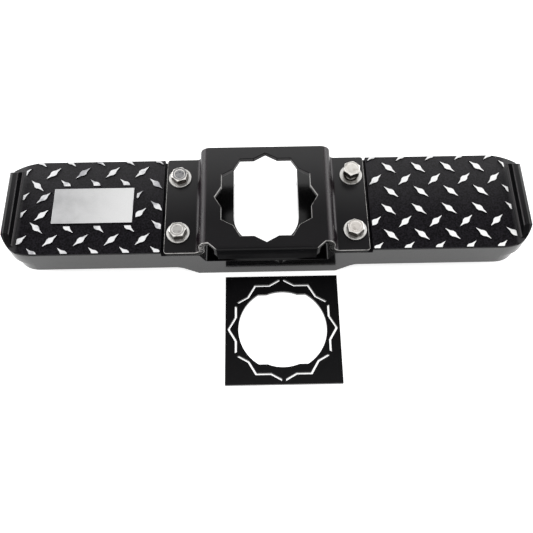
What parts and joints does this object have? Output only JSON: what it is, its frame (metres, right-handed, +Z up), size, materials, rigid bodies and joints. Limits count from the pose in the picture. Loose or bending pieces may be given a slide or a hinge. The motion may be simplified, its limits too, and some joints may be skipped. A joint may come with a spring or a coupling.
{
  "type": "hitch receiver step",
  "caption": "Bolt-on towing step: ribbed black casting with a diamond tread, a pressed saddle bracket with a star opening over a tongue channel, and a loose insert plate.",
  "frame": {"origin": "on the floor, at the middle of the foot's front rim", "axes": "+X along the step to the right, +Y towards the vehicle, +Z up"},
  "size_m": [0.474, 0.2084, 0.0615],
  "materials": {
    "casting": "satin black coat on cast aluminium, with bare tops on the tread",
    "pressing": "satin black coat on pressed steel",
    "insert": "flat black coat on steel plate",
    "bolt_steel": "bright zinc plate",
    "washer_steel": "bright zinc plate",
    "nut_steel": "bright zinc plate"
  },
  "bodies": {
    "root": {"step_body": "casting", "saddle_bracket": "pressing", "bracket_bolts": "bolt_steel", "top_washers": "washer_steel", "lock_nuts": "nut_steel", "insert_plate": "insert"}
  },
  "joints": []
}
